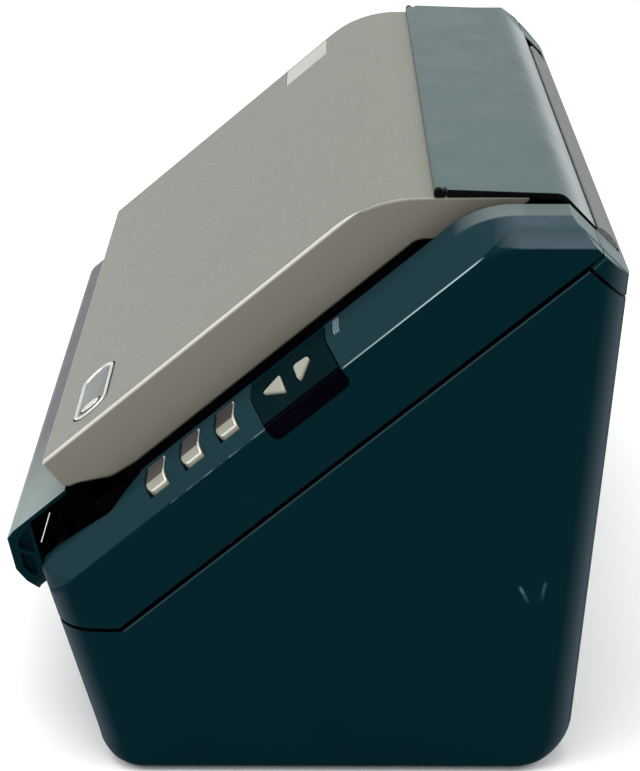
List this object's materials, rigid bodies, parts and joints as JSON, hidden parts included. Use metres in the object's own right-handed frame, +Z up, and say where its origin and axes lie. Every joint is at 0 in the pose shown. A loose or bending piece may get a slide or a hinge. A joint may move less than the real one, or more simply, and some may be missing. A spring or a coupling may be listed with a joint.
{
  "type": "document scanner",
  "caption": "Desktop sheet-fed document scanner: sloping hinged front unit between dark cheeks, fold-over feed cover, pull-up paper support, side paper guides, buttons on the right cheek",
  "frame": {"origin": "centre of the footprint's bounding box, on the plane the four rubber feet stand on", "axes": "+X to the machine's right-hand side, the sloping front faces -Y, +Z up"},
  "size_m": [0.312, 0.1814, 0.1743],
  "materials": {
    "casing": "dark blue-green moulded plastic, fine satin grain",
    "cover": "champagne-silver sprayed finish, satin with fine flake",
    "flap": "grey-green satin plastic",
    "rear_trim": "mid grey, coarse spark-eroded grain",
    "keys": "warm silver, semi-gloss",
    "display": "smoked gloss window",
    "lamp": "translucent light guide",
    "rubber": "matte black rubber",
    "steel": "plain ground steel",
    "sheet": "zinc-plated sheet steel",
    "inner": "black ribbed engineering plastic",
    "pinion": "natural acetal",
    "board": "green solder resist",
    "glass": "clear float glass"
  },
  "bodies": {
    "base": {"lower_casing": "casing", "upper_casing": "casing", "rear_top_cover": "rear_trim", "base_plate": "sheet", "foot_1": "rubber", "foot_2": "rubber", "foot_3": "rubber", "foot_4": "rubber", "base_screw_1": "steel", "base_screw_2": "steel", "base_screw_3": "steel", "base_screw_4": "steel", "rear_guide_plate": "inner", "rear_scan_module": "inner", "rear_scan_glass": "glass", "side_frame_left": "sheet", "side_frame_right": "sheet", "drive_motor": "sheet", "drive_belt": "rubber", "main_board": "board", "data_socket": "steel", "power_inlet": "inner", "control_board": "board", "control_bezel": "casing", "display_window": "display", "power_lamp": "lamp", "hinge_pin_right": "steel", "hinge_pin_left": "steel"},
    "front_unit": {"front_cover": "cover", "front_frame": "casing", "front_guide_plate": "inner", "front_scan_module": "inner", "front_scan_glass": "glass", "front_side_left": "inner", "front_side_right": "inner", "badge": "display", "name_plate": "cover", "feed_cover_pivot_right": "inner", "feed_cover_pivot_left": "inner"},
    "feed_cover_flap": {"feed_cover": "flap"},
    "paper_support": {"feed_support": "rear_trim"},
    "right_guide": {"guide_right": "inner"},
    "left_guide": {"guide_left": "inner"},
    "pinion": {"guide_pinion": "pinion"},
    "motor_drive": {"motor_pulley": "steel"},
    "feed_roll": {"feed_shaft": "steel", "feed_roller": "rubber"},
    "drive_roll": {"drive_shaft": "steel", "drive_roller": "rubber"},
    "eject_roll": {"eject_shaft": "steel", "eject_roller": "rubber"},
    "retard_roll": {"retard_roller": "rubber"},
    "pinch_roll": {"pinch_roller": "rubber"},
    "eject_pinch_roll": {"eject_pinch_roller": "rubber"},
    "button_1": {"function_button_1": "keys"},
    "button_2": {"function_button_2": "keys"},
    "button_3": {"function_button_3": "keys"},
    "arrow_down": {"arrow_button_down": "keys"},
    "arrow_up": {"arrow_button_up": "keys"},
    "switch_rocker": {"power_switch": "inner"}
  },
  "joints": [
    {"name": "front_hinge", "type": "hinge", "parent": "base", "child": "front_unit", "pos_m": [0, -0.0738, 0.0628], "axis": [1, 0, 0], "range_deg": [0, 50]},
    {"name": "feed_cover_hinge", "type": "hinge", "parent": "front_unit", "child": "feed_cover_flap", "pos_m": [0, 0.0372, 0.1732], "axis": [1, 0, 0], "range_deg": [0, 175]},
    {"name": "feed_support_slide", "type": "slide", "parent": "base", "child": "paper_support", "axis": [0, 0.0773, 0.997], "range_m": [0, 0.07]},
    {"name": "guide_right_slide", "type": "slide", "parent": "base", "child": "right_guide", "axis": [-1, 0, 0], "range_m": [0, 0.055]},
    {"name": "guide_left_slide", "type": "slide", "parent": "base", "child": "left_guide", "axis": [1, 0, 0], "range_m": [0, 0.055]},
    {"name": "guide_pinion_turn", "type": "hinge", "parent": "base", "child": "pinion", "pos_m": [0, 0.05388, 0.14714], "axis": [0, -0.6428, 0.766], "range_deg": [-318, 0]},
    {"name": "motor_spin", "type": "hinge", "parent": "base", "child": "motor_drive", "pos_m": [0, 0.03185, 0.07383], "axis": [1, 0, 0], "continuous": true},
    {"name": "feed_spin", "type": "hinge", "parent": "base", "child": "feed_roll", "pos_m": [0, 0.03473, 0.12951], "axis": [1, 0, 0], "continuous": true},
    {"name": "drive_spin", "type": "hinge", "parent": "base", "child": "drive_roll", "pos_m": [0, 0.01022, 0.10894], "axis": [1, 0, 0], "continuous": true},
    {"name": "eject_spin", "type": "hinge", "parent": "base", "child": "eject_roll", "pos_m": [0, -0.03421, 0.07166], "axis": [1, 0, 0], "continuous": true},
    {"name": "retard_spin", "type": "hinge", "parent": "front_unit", "child": "retard_roll", "pos_m": [0, 0.02419, 0.14208], "axis": [1, 0, 0], "continuous": true},
    {"name": "pinch_spin", "type": "hinge", "parent": "front_unit", "child": "pinch_roll", "pos_m": [0, -0.00032, 0.12151], "axis": [1, 0, 0], "continuous": true},
    {"name": "eject_pinch_spin", "type": "hinge", "parent": "front_unit", "child": "eject_pinch_roll", "pos_m": [0, -0.04475, 0.08423], "axis": [1, 0, 0], "continuous": true},
    {"name": "button_1_press", "type": "slide", "parent": "base", "child": "button_1", "axis": [0, 0.6428, -0.766], "range_m": [0, 0.0012], "stiffness_N_per_m": 400, "springref_m": -0.0005},
    {"name": "button_2_press", "type": "slide", "parent": "base", "child": "button_2", "axis": [0, 0.6428, -0.766], "range_m": [0, 0.0012], "stiffness_N_per_m": 400, "springref_m": -0.0005},
    {"name": "button_3_press", "type": "slide", "parent": "base", "child": "button_3", "axis": [0, 0.6428, -0.766], "range_m": [0, 0.0012], "stiffness_N_per_m": 400, "springref_m": -0.0005},
    {"name": "arrow_down_press", "type": "slide", "parent": "base", "child": "arrow_down", "axis": [0, 0.6428, -0.766], "range_m": [0, 0.0008], "stiffness_N_per_m": 400, "springref_m": -0.0005},
    {"name": "arrow_up_press", "type": "slide", "parent": "base", "child": "arrow_up", "axis": [0, 0.6428, -0.766], "range_m": [0, 0.0008], "stiffness_N_per_m": 400, "springref_m": -0.0005},
    {"name": "power_switch_rock", "type": "hinge", "parent": "base", "child": "switch_rocker", "pos_m": [-0.065, 0.0744, 0.019], "axis": [1, 0, 0], "range_deg": [-9, 9]}
  ],
  "couplings": [
    {"joint": "guide_left_slide", "follows": "guide_right_slide", "ratio": 1},
    {"joint": "guide_pinion_turn", "follows": "guide_right_slide", "rad_per_m": -100},
    {"joint": "feed_spin", "follows": "motor_spin", "ratio": 1.3404},
    {"joint": "drive_spin", "follows": "motor_spin", "ratio": 1.3404},
    {"joint": "eject_spin", "follows": "motor_spin", "ratio": 1.3404},
    {"joint": "retard_spin", "follows": "motor_spin", "ratio": -1.7234},
    {"joint": "pinch_spin", "follows": "motor_spin", "ratio": -1.7234},
    {"joint": "eject_pinch_spin", "follows": "motor_spin", "ratio": -1.7234}
  ]
}
